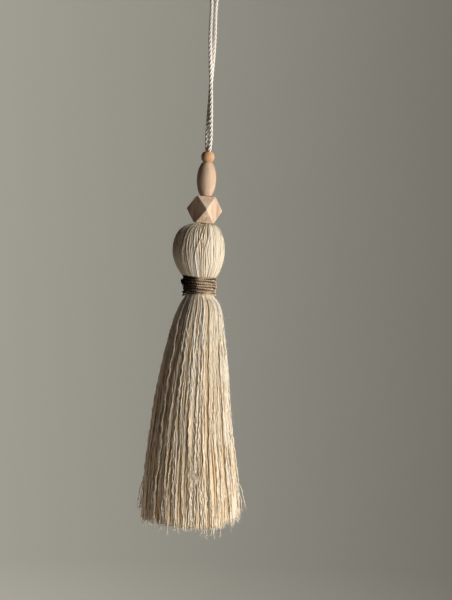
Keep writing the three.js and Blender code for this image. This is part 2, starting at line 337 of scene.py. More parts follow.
def add_tubes(name, centres, radii, sideways, section, tone, turn=0.0, shade=0.0):
    """One mesh of many closed tubes.

    centres is tubes x steps x 3, and radii, tone and turn are tubes x steps or spread to that. sideways
    is a direction across each tube, from which its section is set out, and section is the reach of each
    corner as a share of the radius. tone goes to the material, and is lower by shade on the side that
    faces away from sideways: painted shade for the grooves between tubes.
    """
    tubes, steps = centres.shape[:2]
    sides = len(section)
    along = unit(np.gradient(centres, axis=1))
    across = np.broadcast_to(sideways, centres.shape)
    across = unit(across - along * np.sum(across * along, axis=-1, keepdims=True))
    third = np.cross(along, across)
    angle = even_angles(sides) + np.asarray(turn)[..., None]
    reach = np.broadcast_to(radii, (tubes, steps))[..., None] * np.asarray(section)
    rings = centres[:, :, None]
    rings = rings + across[:, :, None] * (reach * np.cos(angle))[..., None]
    rings = rings + third[:, :, None] * (reach * np.sin(angle))[..., None]
    points = np.concatenate([rings.reshape(tubes, -1, 3), centres[:, [0, -1]]], axis=1)
    quads, triangles = tube_faces(tubes, steps, sides)
    piece = add_mesh(name, points.reshape(-1, 3), quads, triangles, tube_places(tubes, steps, sides))

    tone = np.broadcast_to(tone, (tubes, steps))[..., None]
    # Painted shade: each tube's tone drops by shade on its side away from sideways, for the shadow in the
    # grooves between tubes.
    tone = np.broadcast_to(tone + shade * (np.cos(angle) - 1) / 2, (tubes, steps, sides))
    end_tone = tone[:, [0, -1]].mean(axis=-1)
    add_numbers(piece, "tone", np.concatenate([tone.reshape(tubes, -1), end_tone], axis=1))
    return piece


def add_rings(name, rings, closed=True):
    """A mesh through rings of points that run down the outside and, if closed, back to the first ring."""
    count, sides = rings.shape[:2]
    ring = np.arange(count if closed else count - 1)[:, None]
    side = np.arange(sides)[None, :]
    following = (side + 1) % sides
    here, below = ring * sides, (ring + 1) % count * sides
    quads = np.stack([here + side, below + side, below + following, here + following], axis=-1)
    return add_mesh(name, rings.reshape(-1, 3), quads.reshape(-1, 4))


def twisted_plies(route, plies, reach, lay):
    """The centre lines of plies twisted about a route, and the direction in which each lies from it."""
    along = unit(np.gradient(route, axis=0))
    across = np.empty_like(route)
    aslant = (0.3, 0.9, 0.1)
    across[0] = unit(np.cross(along[0], aslant))
    for i in range(1, len(route)):
        across[i] = unit(across[i - 1] - along[i] * np.dot(across[i - 1], along[i]))
    third = np.cross(along, across)
    angle = TURN * (run_along(route) / lay + np.arange(plies)[:, None] / plies)
    outward = across * np.cos(angle)[..., None] + third * np.sin(angle)[..., None]
    return route + reach * outward, outward


# Sections of tubes, as the reach of each corner in shares of the radius

def round_section(sides, reach=1):
    return (reach,) * sides


def ply_section(sides):
    """A two-ply yarn: two lobes."""
    return 0.86 + 0.14 * np.cos(2 * even_angles(sides))


def flat_section(sides, thickness, width):
    """A yarn pressed among others: thin outwards and wide along the outline."""
    angle = even_angles(sides)
    return 1 / np.hypot(np.cos(angle) / thickness, np.sin(angle) / width)


# Materials

def make(tree, kind, inputs=None, **settings):
    """A shader node with its settings, and its inputs set or linked."""
    node = tree.nodes.new(kind)
    for key, value in settings.items():
        setattr(node, key, value)
    for key, value in (inputs or {}).items():
        if isinstance(value, bpy.types.NodeSocket):
            tree.links.new(value, node.inputs[key])
        else:
            node.inputs[key].default_value = value
    return node


def new_material(name, **shader_inputs):
    """A material with its node tree and its shader, with the constant inputs set."""
    material = bpy.data.materials.new(name)
    material.use_nodes = True
    shader = material.node_tree.nodes["Principled BSDF"]
    for key, value in shader_inputs.items():
        shader.inputs[key.replace("_", " ")].default_value = value
    return material, material.node_tree, shader


def stretched_noise(tree, scale, detail=3.0, rough=0.55):
    """Noise over the part's own coordinates, with its own scale on each axis."""
    place = make(tree, "ShaderNodeTexCoord").outputs["Object"]
    mapped = make(tree, "ShaderNodeMapping", {"Vector": place, "Scale": scale}).outputs["Vector"]
    inputs = {"Vector": mapped, "Scale": 1.0, "Detail": detail, "Roughness": rough}
    return make(tree, "ShaderNodeTexNoise", inputs).outputs["Fac"]


def ramp(tree, factor, stops):
    """A colour ramp through (position, colour) stops."""
    node = make(tree, "ShaderNodeValToRGB", {"Fac": factor})
    elements = node.color_ramp.elements
    while len(elements) < len(stops):
        elements.new(0.5)
    for element, (position, colour) in zip(elements, stops):
        element.position = position
        element.color = (*colour, 1)
    return node.outputs["Color"]


def add_scaled(tree, base, value, amount):
    """base plus amount times how far value lies from a half."""
    offset = -0.5 * amount
    scaled = make(tree, "ShaderNodeMath", {0: value, 1: amount, 2: offset}, operation="MULTIPLY_ADD")
    return make(tree, "ShaderNodeMath", {0: base, 1: scaled.outputs[0]}, operation="ADD").outputs[0]


def add_bump(tree, shader, height, strength):
    inputs = {"Height": height, "Strength": strength, "Distance": 0.0002}
    bump = make(tree, "ShaderNodeBump", inputs)
    tree.links.new(bump.outputs["Normal"], shader.inputs["Normal"])


def yarn_material(name, stops, fibre_scale, mottling, bump=0.3, roughness=0.95, gloss=0.1):
    """Soft spun fibre: each strand has its own tone, with mottling and fine fibres along it."""
    material, tree, shader = new_material(
        name, Roughness=roughness, Specular_IOR_Level=gloss, Sheen_Weight=0.05, Sheen_Roughness=0.5)
    tone = make(tree, "ShaderNodeAttribute", attribute_name="tone").outputs["Fac"]
    mottle = stretched_noise(tree, (150, 150, 50))
    fibres = stretched_noise(tree, fibre_scale, detail=4.0, rough=0.65)
    factor = add_scaled(tree, add_scaled(tree, tone, mottle, mottling), fibres, 0.6 * mottling)
    tree.links.new(ramp(tree, factor, stops), shader.inputs["Base Color"])
    add_bump(tree, shader, fibres, bump)
    return material


def worn(tree, colour, worn_colour):
    """A colour that turns paler along the edges that a piece's edge numbers mark."""
    edge = make(tree, "ShaderNodeAttribute", attribute_name="edge").outputs["Fac"]
    near = make(tree, "ShaderNodeMapRange", {"Value": edge, "From Min": 0.95, "To Max": 0.5})
    mix = make(tree, "ShaderNodeMix", data_type="RGBA")
    first, second, result = mix.inputs[6], mix.inputs[7], mix.outputs[2]  # the node's colour sockets
    tree.links.new(near.outputs["Result"], mix.inputs["Factor"])
    tree.links.new(colour, first)
    second.default_value = (*worn_colour, 1)
    return result


def wood_material(name, stops, grain_scale, roughness=0.6, worn_edges=None):
    """Raw sanded wood with broad figure, fine grain along the bore and, if given, paler worn edges."""
    material, tree, shader = new_material(name, Specular_IOR_Level=0.12)
    figure = stretched_noise(tree, tuple(0.16 * s for s in grain_scale), detail=2.0)
    grain = stretched_noise(tree, grain_scale, detail=5.0, rough=0.6)
    colour = ramp(tree, add_scaled(tree, figure, grain, 0.75), stops)
    if worn_edges:
        colour = worn(tree, colour, worn_edges)
    tree.links.new(colour, shader.inputs["Base Color"])
    limits = {"Value": grain, "To Min": roughness - 0.08, "To Max": roughness + 0.12}
    polish = make(tree, "ShaderNodeMapRange", limits)
    tree.links.new(polish.outputs["Result"], shader.inputs["Roughness"])
    add_bump(tree, shader, grain, 0.15)
    return material


CORD_COTTON = yarn_material(
    "cord_cotton",
    stops=((0.0, (0.58, 0.38, 0.26)), (0.5, (0.9, 0.81, 0.7)), (1.0, (0.98, 0.96, 0.91))),
    fibre_scale=(2600, 2600, 900),
    mottling=0.5,
)
YARN_COTTON = yarn_material(
    "yarn_cotton",
    stops=(
        (0.0, (0.56, 0.35, 0.16)),
        (0.35, (0.76, 0.575, 0.345)),
        (0.7, (0.82, 0.74, 0.59)),
        (1.0, (0.865, 0.83, 0.75)),
    ),
    fibre_scale=(2200, 2200, 260),
    mottling=0.4,
)
TWINE_HEMP = yarn_material(
    "twine_hemp",
    stops=((0.0, (0.006, 0.0035, 0.002)), (0.5, (0.14, 0.086, 0.05)), (1.0, (0.78, 0.6, 0.42))),
    fibre_scale=(900, 900, 900),
    mottling=1.5,
    bump=0.8,
    roughness=0.7,
    gloss=0.12,
)
WARM_WOOD = wood_material(
    "warm_wood",
    stops=((0.25, (0.6, 0.335, 0.17)), (0.55, (0.8, 0.5, 0.285)), (0.8, (0.89, 0.61, 0.37))),
    grain_scale=(700, 700, 110),
)
PALE_WOOD = wood_material(
    "pale_wood",
    stops=((0.25, (0.57, 0.405, 0.275)), (0.55, (0.71, 0.525, 0.375)), (0.8, (0.81, 0.625, 0.465))),
    grain_scale=(900, 900, 90),
)
MAPLE_WOOD = wood_material(
    "maple_wood",
    stops=((0.32, (0.49, 0.325, 0.215)), (0.55, (0.77, 0.575, 0.415)), (0.75, (0.91, 0.74, 0.575))),
    grain_scale=(520, 520, 60),
    worn_edges=(0.91, 0.74, 0.56),
)


def finish_piece(piece, material, slot, *nodes):
    """Gives a piece its material, hangs it on the part and hides the nodes that it stands for."""
    piece.data.materials.append(material)
    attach(piece, "root")
    if nodes:
        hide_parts(*nodes)


# The camera

def add_camera():
    data = bpy.data.cameras.new("camera")
    camera = bpy.data.objects.new("camera", data)
    bpy.context.collection.objects.link(camera)
    aim = Vector(CAMERA_AIM)
    place = Vector((aim.x, -CAMERA_DISTANCE, CAMERA_HEIGHT))
    ahead = (aim - place).normalized()
    level = ahead.cross(Vector((0, 0, 1))).normalized()
    right = Matrix.Rotation(math.radians(-CAMERA_ROLL), 3, ahead) @ level
    above = right.cross(ahead)
    turned = Matrix((right, above, -ahead)).transposed().to_4x4()
    camera.matrix_world = Matrix.Translation(place) @ turned
    data.sensor_width = SENSOR
    data.lens = SENSOR * (aim - place).length / (METRES_PER_PIXEL * max(PHOTO_SIZE))
    bpy.context.scene.camera = camera


add_camera()


# The hanging cord

def add_cord():
    x, y, z, sway = np.array(CORD_LEG).T
    leg = np.column_stack([sway + x, y, z])
    other = np.column_stack([sway - x, -y, z])[-2::-1]
    route = smooth_line(np.vstack([leg, other]), CORD_STEPS)
    centres, outward = twisted_plies(route, CORD_PLIES, CORD_PLY_REACH, CORD_LAY)
    tone = rng.uniform(0.95, 1.1, (CORD_PLIES, 1))
    section = round_section(10)
    cord = add_tubes("hanging_cord_plies", centres, CORD_PLY_RADIUS, outward, section, tone, shade=0.8)
    finish_piece(cord, CORD_COTTON, "cord", "hanging_cord")


add_cord()


# The beads

def bead_size(node):
    """A bead's radius and half its height."""
    low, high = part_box(node)
    return (high.x - low.x) / 2, (high.z - low.z) / 2


def turned_bead(name, node, outline):
    """A turned bead from rows of radius and height down its outside, closed by its bore."""
    low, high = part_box(node)
    middle = (low + high) / 2
    top, bottom = outline[0][1], outline[-1][1]
    bore = (
        (BORE_RADIUS + RIM / 3, bottom + RIM / 8),
        (BORE_RADIUS, bottom + RIM),
        (BORE_RADIUS, top - RIM),
        (BORE_RADIUS + RIM / 3, top - RIM / 8),
    )
    radius, height = np.vstack([outline, bore]).T
    return add_rings(name, level_rings(radius, height, BEAD_SIDES) + np.array(middle))


def add_round_bead():
    """A ball whose foot reaches down to the oval bead."""
    radius, half = bead_size("round_bead")
    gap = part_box("round_bead")[0].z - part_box("oval_bead")[1].z
    rim = math.asin((BORE_RADIUS + RIM) / radius)
    swing = np.linspace(rim, math.pi - rim, 40)
    outline = radius * np.stack([np.sin(swing), np.cos(swing)], axis=-1)
    foot = (BORE_RADIUS + RIM, -half - gap)
    bead = turned_bead("round_bead_turned", "round_bead", np.vstack([outline, foot]))
    finish_piece(bead, WARM_WOOD, "warm_wood", "round_bead")


def add_oval_bead():
    """An ellipse turned about its bore and cut off at both ends."""
    radius, half = bead_size("oval_bead")
    half = half + TOUCH
    reach = half / math.sqrt(1 - (OVAL_END_RADIUS / radius) ** 2)
    height = half * np.cos(np.linspace(0, math.pi, 56))
    outline = np.stack([radius * np.sqrt(1 - (height / reach) ** 2), height], axis=-1)
    outline[[0, -1], 0] -= RIM
    bead = turned_bead("oval_bead_turned", "oval_bead", outline)
    finish_piece(bead, PALE_WOOD, "pale_wood", "oval_bead")


def add_faceted_bead():
    """A cuboctahedron on a square face, its edges sanded round."""
    low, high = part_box("faceted_bead")
    centre = np.array((low + high) / 2)
    half = FACETED_HEIGHT / 2 + TOUCH
    squares = np.vstack([np.eye(3), -np.eye(3)])
    signs = np.array([(a, b, c) for a in (-1, 1) for b in (-1, 1) for c in (-1, 1)], float)
    planes = np.vstack([squares / half, signs / (2 * half)])
    bore = BORE_RADIUS + half * math.sin(math.radians(FACETED_TILT))
    start = math.atan(bore / half)
    polar = np.linspace(start, math.pi - start, 96)
    ways = level_rings(np.sin(polar), np.cos(polar), FACETED_SIDES)
    nearness = np.clip(ways @ planes.T, 0, None)
    reach = 1 / (nearness**FACETED_HARDNESS).sum(axis=-1) ** (1 / FACETED_HARDNESS)
    outside = ways * reach[..., None]
    outside[..., :2] *= FACETED_SLIM
    wall = level_rings((bore, bore), (-half + RIM, half - RIM), FACETED_SIDES)
    ranked = np.sort(nearness, axis=-1)
    edge = np.concatenate([ranked[..., -2] / ranked[..., -1], np.zeros(wall.shape[:2])])
    tilt = Matrix.Rotation(math.radians(FACETED_TILT), 3, "Y")
    spin = Matrix.Rotation(math.radians(FACETED_TURN - 45), 3, "Z")
    rings = np.concatenate([outside, wall]) @ np.array(tilt @ spin).T + centre
    bead = add_rings("faceted_bead_cut", rings)
    add_numbers(bead, "edge", edge)
    finish_piece(bead, MAPLE_WOOD, "maple_wood", "faceted_bead")


add_round_bead()
add_oval_bead()
add_faceted_bead()


# Yarn that the head and the skirt share

def drawn_together(start, leaders, strength):
    """Start angles drawn towards the nearest of the leaders, so that yarns part into clumps."""
    apart = (leaders - start[:, None] + np.pi) % TURN - np.pi
    nearest = np.take_along_axis(apart, np.argmin(np.abs(apart), axis=1)[:, None], axis=1)[:, 0]
    return start + strength * nearest


def thin_fibres(name, start, ahead, length, radius, curl):
    """Loose fibres from arrays of starts and directions, each curling its own way."""
    count, steps = len(start), 4
    share = np.linspace(0, 1, steps)[None, :, None]
    bend = rng.normal(0, curl, (count, 3))
    lines = start[:, None] + length[:, None, None] * share * (ahead[:, None] + bend[:, None] * share)
    radii = radius * np.linspace(1, 0.35, steps)
    aslant = (0.3, 0.4, 0.1)
    sideways = unit(np.cross(ahead, aslant))[:, None]
    tone = rng.uniform(0.6, 1, (count, 1))
    fibres = add_tubes(name, lines, radii, sideways, round_section(3), tone)
    finish_piece(fibres, YARN_COTTON, "yarn")


def add_fuzz(name, centres, radii, count):
    """Short fibres that stand off the outside of yarns."""
    yarn = rng.integers(len(centres), size=count)
    step = rng.integers(3, centres.shape[1] - 3, size=count)
    start = centres[yarn, step]
    along = unit(centres[yarn, step + 2] - centres[yarn, step - 2])
    outward = unit(start * (1, 1, 0) + rng.normal(0, 0.006, (count, 3)))
    ahead = 0.55 * outward + along * rng.choice((-1, 1), (count, 1))
    ahead = unit(ahead + rng.normal(0, 0.2, (count, 3)))
    start = start + outward * radii[yarn, step][:, None] * 0.8
    length = rng.uniform(0.0015, 0.004, count)
    thin_fibres(name, start, ahead, length, FUZZ_RADIUS, curl=0.5)


# The yarn head

def head_layer(name, count, depth, thickness, tone, section, nodes=()):
    """One layer of head yarns from under the bead to the binding.

    depth and tone are ranges, depth from the outline to the outside of a yarn, and thickness is a share of
    the yarn's radius. A yarn of full thickness shows its spin, and a thinner one is pressed flat.
    """
    steps = 52
    drop, outline, sway = smooth_line(HEAD_ROWS, steps).T
    share = np.linspace(0, 1, steps)
    facing = unit(np.stack([np.gradient(drop), np.gradient(outline)], axis=-1))
    start = scattered_angles(count)
    phase = rng.uniform(0, TURN, (2, count, 1))
    slant = rng.normal(0, 0.1, (count, 1)) * (share - 0.5)
    wander = 0.03 * np.sin(TURN * share * rng.uniform(0.8, 1.7, (count, 1)) + phase[0])
    clumped = drawn_together(start, rng.uniform(0, TURN, count // 4), strength=0.45)
    parting = (clumped - start)[:, None] * (1 - ease(share / 0.6))
    angle = start[:, None] + parting + (slant + wander) * np.sin(np.pi * share) ** 0.5
    squeeze = np.clip(outline / outline.max(), 0.4, 1)
    radii = YARN_RADIUS * squeeze * rng.uniform(0.85, 1.15, (count, 1))
    inset = rng.uniform(*depth, (count, 1)) * squeeze + thickness * radii
    centres = (outline - inset * facing[:, 0])[..., None] * around(angle)
    centres[..., 0] += sway
    centres[..., 2] = CROWN_Z - drop - inset * facing[:, 1]
    outward = facing[:, :1] * around(angle)
    outward[..., 2] = facing[:, 1]
    run = line_length(np.column_stack([drop, outline])) * share
    turn = TURN * run / YARN_LAY + phase[1] if thickness == 1 else 0.0
    tone = rng.uniform(*tone, (count, 1))
    yarns = add_tubes(name, centres, radii, outward, section, tone, turn, shade=0.4)
    finish_piece(yarns, YARN_COTTON, "yarn", *nodes)
    return centres, radii


def add_head_yarns():
    """Two layers of pressed yarns, a few round ones that stand proud of them, and fuzz."""
    thickness = 0.65
    flat = flat_section(6, thickness, width=1.5)
    # Painted shade: the lower layer takes a lower tone than the layers above it.
    head_layer(
        "head_lower_yarns", HEAD_YARNS, depth=(0.0003, 0.0005), thickness=thickness, tone=(0.58, 0.68),
        section=flat,
    )
    upper = head_layer(
        "head_upper_yarns", HEAD_YARNS, depth=(0, 0.0004), thickness=thickness, tone=(0.65, 0.85),
        section=flat, nodes=("yarn_tassel",),
    )
    head_layer(
        "head_proud_yarns", PROUD_HEAD_YARNS, depth=(-0.0007, -0.0001), thickness=1, tone=(0.75, 0.95),
        section=0.7 * ply_section(6),
    )
    add_fuzz("head_fuzz", *upper, count=150)


def add_head_mass():
    """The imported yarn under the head's yarns."""
    steps, sides, inset = 40, 72, 0.0011
    drop, outline, sway = smooth_line(HEAD_ROWS, steps).T
    radius = np.clip(outline - inset, 0.0015, None)
    rings = level_rings(radius, CROWN_Z - drop - inset * np.linspace(1, 0, steps), sides)
    rings[..., 0] += sway[:, None]
    mass = add_rings("head_under_yarn", rings)
    # Painted shade: the mass under the head's yarns takes a low tone.
    add_numbers(mass, "tone", np.full(steps * sides, 0.3))
    finish_piece(mass, YARN_COTTON, "yarn")


add_head_yarns()
add_head_mass()


# The skirt

RIDGE_WAVES = rng.integers(32, 82, RIDGES)
RIDGE_PHASES = rng.uniform(0, TURN, (2, RIDGES))
RIDGE_BENDS = rng.normal(0, 1.4, RIDGES)


def ridges(angle, drop):
    """Low ridges into which the skirt's yarns draw together, mostly from -1 to 1 and fading upwards."""
    height = np.zeros(np.broadcast(angle, drop).shape)
    for wave, phase, bend_phase, bend in zip(RIDGE_WAVES, *RIDGE_PHASES, RIDGE_BENDS):
        height = height + np.cos(wave * angle + phase + bend * np.sin(drop / RIDGE_RISE + bend_phase))
    return height * ease(drop / RIDGE_RISE) / math.sqrt(2 * RIDGES)


def skirt_outline(drop):
    """The skirt's radius and sway at each drop below the binding."""
    rows = smooth_line(SKIRT_ROWS, 400)
    return np.interp(drop, rows[:, 0], rows[:, 1]), np.interp(drop, rows[:, 0], rows[:, 2])


def skirt_lines(share, start, length, steps, wander, weave, crimp, kick=0.0):
    """Centre lines of hanging yarns from inside the binding to the hem, with each point's drop and angle.

    share is of the skirt's radius, wander and weave are the sizes of the long waves sidelong and outward,
    crimp is that of the short waves, and kick is how far the tips stand out.
    """
    count = len(share)
    root = SKIRT_ROWS[0][0]
    along = np.linspace(0, 1, steps)
    drop = root + along * (length[:, None] - root)
    outline, sway = skirt_outline(drop)
    phase = rng.uniform(0, TURN, (4, count, 1))
    long_wave = TURN * drop / rng.uniform(*LONG_WAVES, (count, 1))
    short_wave = TURN * drop / rng.uniform(*SHORT_WAVES, (count, 1))
    short_wave = short_wave + 0.9 * np.sin(TURN * drop / 0.041 + phase[0])
    long_size = rng.uniform(0.4, 1, (2, count, 1)) * ease(np.stack([drop / 0.15, drop / 0.04]))
    short_size = crimp * rng.uniform(0.4, 1, (count, 1)) * ease((drop - 0.003) / 0.03)
    sidelong = wander * long_size[0] * np.sin(long_wave + phase[1])
    sidelong = sidelong + short_size * np.sin(short_wave + phase[2])
    outward = weave * long_size[1] * np.sin(long_wave + phase[3])
    outward = outward + 0.5 * short_size * np.cos(short_wave + phase[2])
    tip = np.reshape(kick, (-1, 1)) * ease((along - 0.84) / 0.16)
    radius = share[:, None] * (outline - YARN_RADIUS) + RIDGE_HEIGHT * ridges(start[:, None], drop)
    radius = radius + outward + tip
    crossing = rng.normal(0, 0.09, (count, 1)) * (1 - ease(drop / 0.05))
    angle = start[:, None] + crossing + sidelong / np.maximum(radius, 0.004)
    centres = radius[..., None] * around(angle)
    centres[..., 0] += sway
    centres[..., 2] = BINDING_BOTTOM - drop
    return centres, drop, angle


def yarn_radii(drop):
    """Yarns are squeezed at the binding, swell below it and thin out at their cut ends."""
    count = len(drop)
    swell = 0.7 + 0.3 * ease(drop / 0.045)
    uneven = 1 + 0.16 * np.sin(TURN * drop / 0.0067 + rng.uniform(0, TURN, (count, 1)))
    cut = 1 - 0.4 * ease((drop - drop[:, -1:] + 0.003) / 0.003)
    return YARN_RADIUS * rng.uniform(0.8, 1.2, (count, 1)) * swell * uneven * cut


def add_yarns(name, lines, section, tone, spun=True, pieces=1):
    """Skirt yarns of one section in one or more pieces, mostly paler near the binding. tone is a range."""
    centres, drop, angle = lines
    count = len(centres)
    radii = yarn_radii(drop)
    turn = TURN * (drop / YARN_LAY + rng.random((count, 1))) if spun else np.zeros_like(drop)
    paler = rng.uniform(-0.05, 0.3, (count, 1)) * (1 - ease(drop / 0.04))
    # Painted shade: yarns in the ridges' valleys take a lower tone, as if those valleys lay in shadow.
    tone = rng.uniform(*tone, (count, 1)) + paler + 0.06 * ridges(angle, drop)
    for number in range(pieces):
        own = slice(number, None, pieces)
        label = f"{name}_{number + 1}" if pieces > 1 else name
        piece = add_tubes(
            label, centres[own], radii[own], around(angle[own]), section, tone[own], turn[own], shade=0.35)
        finish_piece(piece, YARN_COTTON, "yarn")
    return radii


def add_cut_ends(name, centres, fibres, reach, splay):
    """Loose fibres at the cut ends of yarns."""
    ahead = np.repeat(unit(centres[:, -1] - centres[:, -3]), fibres, axis=0)
    ahead = unit(ahead + rng.normal(0, splay, ahead.shape))
    start = np.repeat(centres[:, -1], fibres, axis=0) - 0.001 * ahead
    start = start + rng.normal(0, 0.00022, start.shape)
    length = rng.uniform(0.4, 1, len(start)) * reach
    thin_fibres(name, start, ahead, length, CUT_FIBRE_RADIUS, curl=splay)


def hem_drop(angle):
    """How far the cut hangs below the skirt's length: lower towards the front and higher on the right."""
    right = HEM_RIGHT * ease((np.cos(angle) - 0.45) / 0.55)
    front = HEM_FRONT * np.clip(np.cos(angle - math.radians(LONGEST_ANGLE)), 0, 1) ** 2
    return front - right


def hem_lengths(share, start, uneven):
    """Each yarn's length to the cut, which is blunt and a little longer inside."""
    ragged = uneven * np.clip(rng.normal(0, 1, len(share)), -2, 2)
    return SKIRT_LENGTH + HEM_INSIDE * (1 - share**4) + hem_drop(start) + ragged


def packed_underside(hem):
    """Rings that close the skirt inside its hem, and how much of a cut end each point is, from -1 to 1."""
    shares = np.linspace(0.985, 0.02, 60)[:, None]
    rings = np.repeat(hem[None], len(shares), axis=0)
    rings[..., :2] *= shares[..., None]
    x, y = rings[..., 0] / YARN_PACKING, rings[..., 1] / YARN_PACKING
    ends = np.cos(TURN * (x + 0.3 * np.sin(2.1 * y))) * np.cos(TURN * (y + 0.3 * np.sin(1.7 * x)))
    rings[..., 2] += 0.0015 * (1 - shares) - 0.0006 * ends
    return rings, ends


def add_skirt_mass():
    """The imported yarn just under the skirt's outside, in the same low ridges, and its underside."""
    steps, sides, above_hem = 64, 360, 0.0022
    share, tuck = 0.955, 0.0012
    drop = np.linspace(-0.006, SKIRT_LENGTH - above_hem, steps)
    outline, sway = skirt_outline(drop)
    angle = even_angles(sides)
    streaks = ridges(angle, drop[:, None])
    radius = (share * outline - tuck * (1 - ease(drop / 0.06)))[:, None] + RIDGE_HEIGHT * streaks
    height = BINDING_BOTTOM - drop[:, None] * (1 + hem_drop(angle) / SKIRT_LENGTH)
    rings = level_rings(radius, height, sides)
    rings[..., 0] += sway[:, None]
    underside, ends = packed_underside(rings[-1])
    mass = add_rings("skirt_under_yarn", np.concatenate([rings, underside]))
    # Painted shade: the mass takes a low tone because it lies under the outer yarns, and a lower one still
    # in the ridges' valleys. It is paler near the binding. Underneath, the cut ends are paler, and the
    # hollows between them are painted darker as shade.
    tone = 0.25 + 0.12 * streaks + 0.4 * (1 - ease(drop / 0.02))[:, None]
    add_numbers(mass, "tone", np.concatenate([tone, 0.4 + 0.4 * ends]))
    finish_piece(mass, YARN_COTTON, "yarn")


def add_core_yarns():
    """Yarns inside the skirt, whose ends show underneath."""
    share = rng.uniform(0.1, 0.85, CORE_YARNS)
    start = rng.uniform(0, TURN, CORE_YARNS)
    length = hem_lengths(share, start, uneven=0.001)
    lines = skirt_lines(share, start, length, steps=40, wander=0.0015, weave=0.0004, crimp=0)
    # Painted shade: the core yarns take low tones because they lie deep inside the skirt.
    add_yarns("skirt_core_yarns", lines, ply_section(5), tone=(0.3, 0.6))
    add_cut_ends("skirt_core_ends", lines[0], fibres=2, reach=0.002, splay=0.25)


def add_base_yarns():
    """The skirt's close outside, of yarns that lie flat against each other."""
    start = scattered_angles(BASE_YARNS)
    start = drawn_together(start, rng.uniform(0, TURN, 56), strength=0.12)
    share = rng.uniform(0.97, 0.984, BASE_YARNS)
    length = hem_lengths(share, start, uneven=0.0005)
    lines = skirt_lines(share, start, length, steps=44, wander=0.0009, weave=0.0003, crimp=0.0002)
    section = flat_section(5, thickness=0.7, width=1.0)
    # Painted shade: the base yarns take lower tones than the loose yarns and locks, because they lie under
    # them.
    add_yarns("skirt_base_yarns", lines, section, tone=(0.3, 0.66), spun=False, pieces=2)
    add_cut_ends("skirt_base_ends", lines[0], fibres=5, reach=0.0018, splay=0.2)


def add_loose_yarns():
    """Thin pale yarns that wander over the base."""
    start = rng.uniform(0, TURN, LOOSE_YARNS)
    share = rng.uniform(0.975, 0.99, LOOSE_YARNS)
    length = hem_lengths(share, start, uneven=0.001)
    lines = skirt_lines(share, start, length, steps=84, wander=0.0015, weave=0.001, crimp=0.0004)
    add_yarns("skirt_loose_yarns", lines, round_section(5, 0.62), tone=(0.6, 0.95), spun=False)
    add_cut_ends("skirt_loose_ends", lines[0], fibres=4, reach=0.003, splay=0.3)


def add_locks():
    """Locks of yarns wound about each other that stand proud of the skirt, some longer than the rest."""
    start = scattered_angles(LOCKS)
    share = rng.uniform(0.984, 1.03, LOCKS)
    kick = rng.uniform(-0.001, 0.0003, LOCKS)
    longer = rng.uniform(0.0025, 0.0055, LOCKS) * (rng.random(LOCKS) < 0.28)
    length = hem_lengths(share, start, uneven=0.0005) + longer
    centres, drop, angle = skirt_lines(
        share, start, length, steps=118, wander=0.0013, weave=0.0004, crimp=0.0005, kick=kick)
    wind = TURN * (drop / rng.uniform(0.05, 0.11, (LOCKS, 1)) + rng.random((LOCKS, 1)))
    splay = 1 + 1.5 * ease((drop - drop[:, -1:] + 0.014) / 0.014)
    spread = 0.00045 * ease((drop - 0.002) / 0.05) * splay
    members = []
    for number in range(LOCK_YARNS):
        place = wind + TURN * number / LOCK_YARNS
        shift = (spread * np.cos(place))[..., None] * around(angle + np.pi / 2)
        shift = shift + (0.45 * spread * np.sin(place))[..., None] * around(angle)
        shift[..., 2] = rng.uniform(-0.0018, 0.0018, (LOCKS, 1)) * ease((drop - 0.1) / 0.06)
        members.append(centres + shift)
    lines = np.concatenate(members), np.tile(drop, (LOCK_YARNS, 1)), np.tile(angle, (LOCK_YARNS, 1))
    radii = add_yarns("skirt_lock_yarns", lines, 0.8 * ply_section(6), tone=(0.7, 1), pieces=2)
    add_cut_ends("skirt_lock_ends", lines[0], fibres=5, reach=0.0036, splay=0.3)
    add_fuzz("skirt_fuzz", lines[0], radii, count=700)


def add_stray_yarns():
    """Single yarns whose tips stand out from the skirt."""
    angles, kick, longer = np.array(STRAY_YARNS).T
    share = np.full(len(angles), 0.99)
    lines = skirt_lines(
        share, np.radians(angles), SKIRT_LENGTH + longer, steps=110, wander=0.0012, weave=0.0003,
        crimp=0.0008, kick=kick,
    )
    add_yarns("skirt_stray_yarns", lines, 0.6 * ply_section(6), tone=(0.7, 1))
    add_cut_ends("skirt_stray_ends", lines[0], fibres=6, reach=0.005, splay=0.4)


add_skirt_mass()
add_core_yarns()
add_base_yarns()
add_loose_yarns()
add_locks()
add_stray_yarns()


# The binding twine

def twine_piece(name, route, tone, *nodes):
    """A run of twine along a route, painted darker on the knot's side as shade. tone is a range."""
    centres, outward = twisted_plies(route, TWINE_PLIES, TWINE_PLY_REACH, TWINE_LAY)
    swells = len(route) // 12 + 2
    radii = TWINE_PLY_RADIUS * (1 + 0.14 * rng.normal(0, 1, (TWINE_PLIES, swells)))
    at = np.linspace(0, swells - 1, len(route))
    radii = np.stack([np.interp(at, np.arange(swells), row) for row in radii])
    # Painted shade: the twine turns dark towards the knot's side of the binding, which lies in shadow.
    toward_shade = np.cos(np.arctan2(route[:, 1], route[:, 0]) - math.radians(KNOT_ANGLE))
    tone = rng.uniform(*tone, (TWINE_PLIES, 1)) - 0.9 * ease(1.4 * toward_shade - 0.15)
    twine = add_tubes(name, centres, radii, outward, round_section(8), tone, shade=0.6)
    finish_piece(twine, TWINE_HEMP, "twine", *nodes)


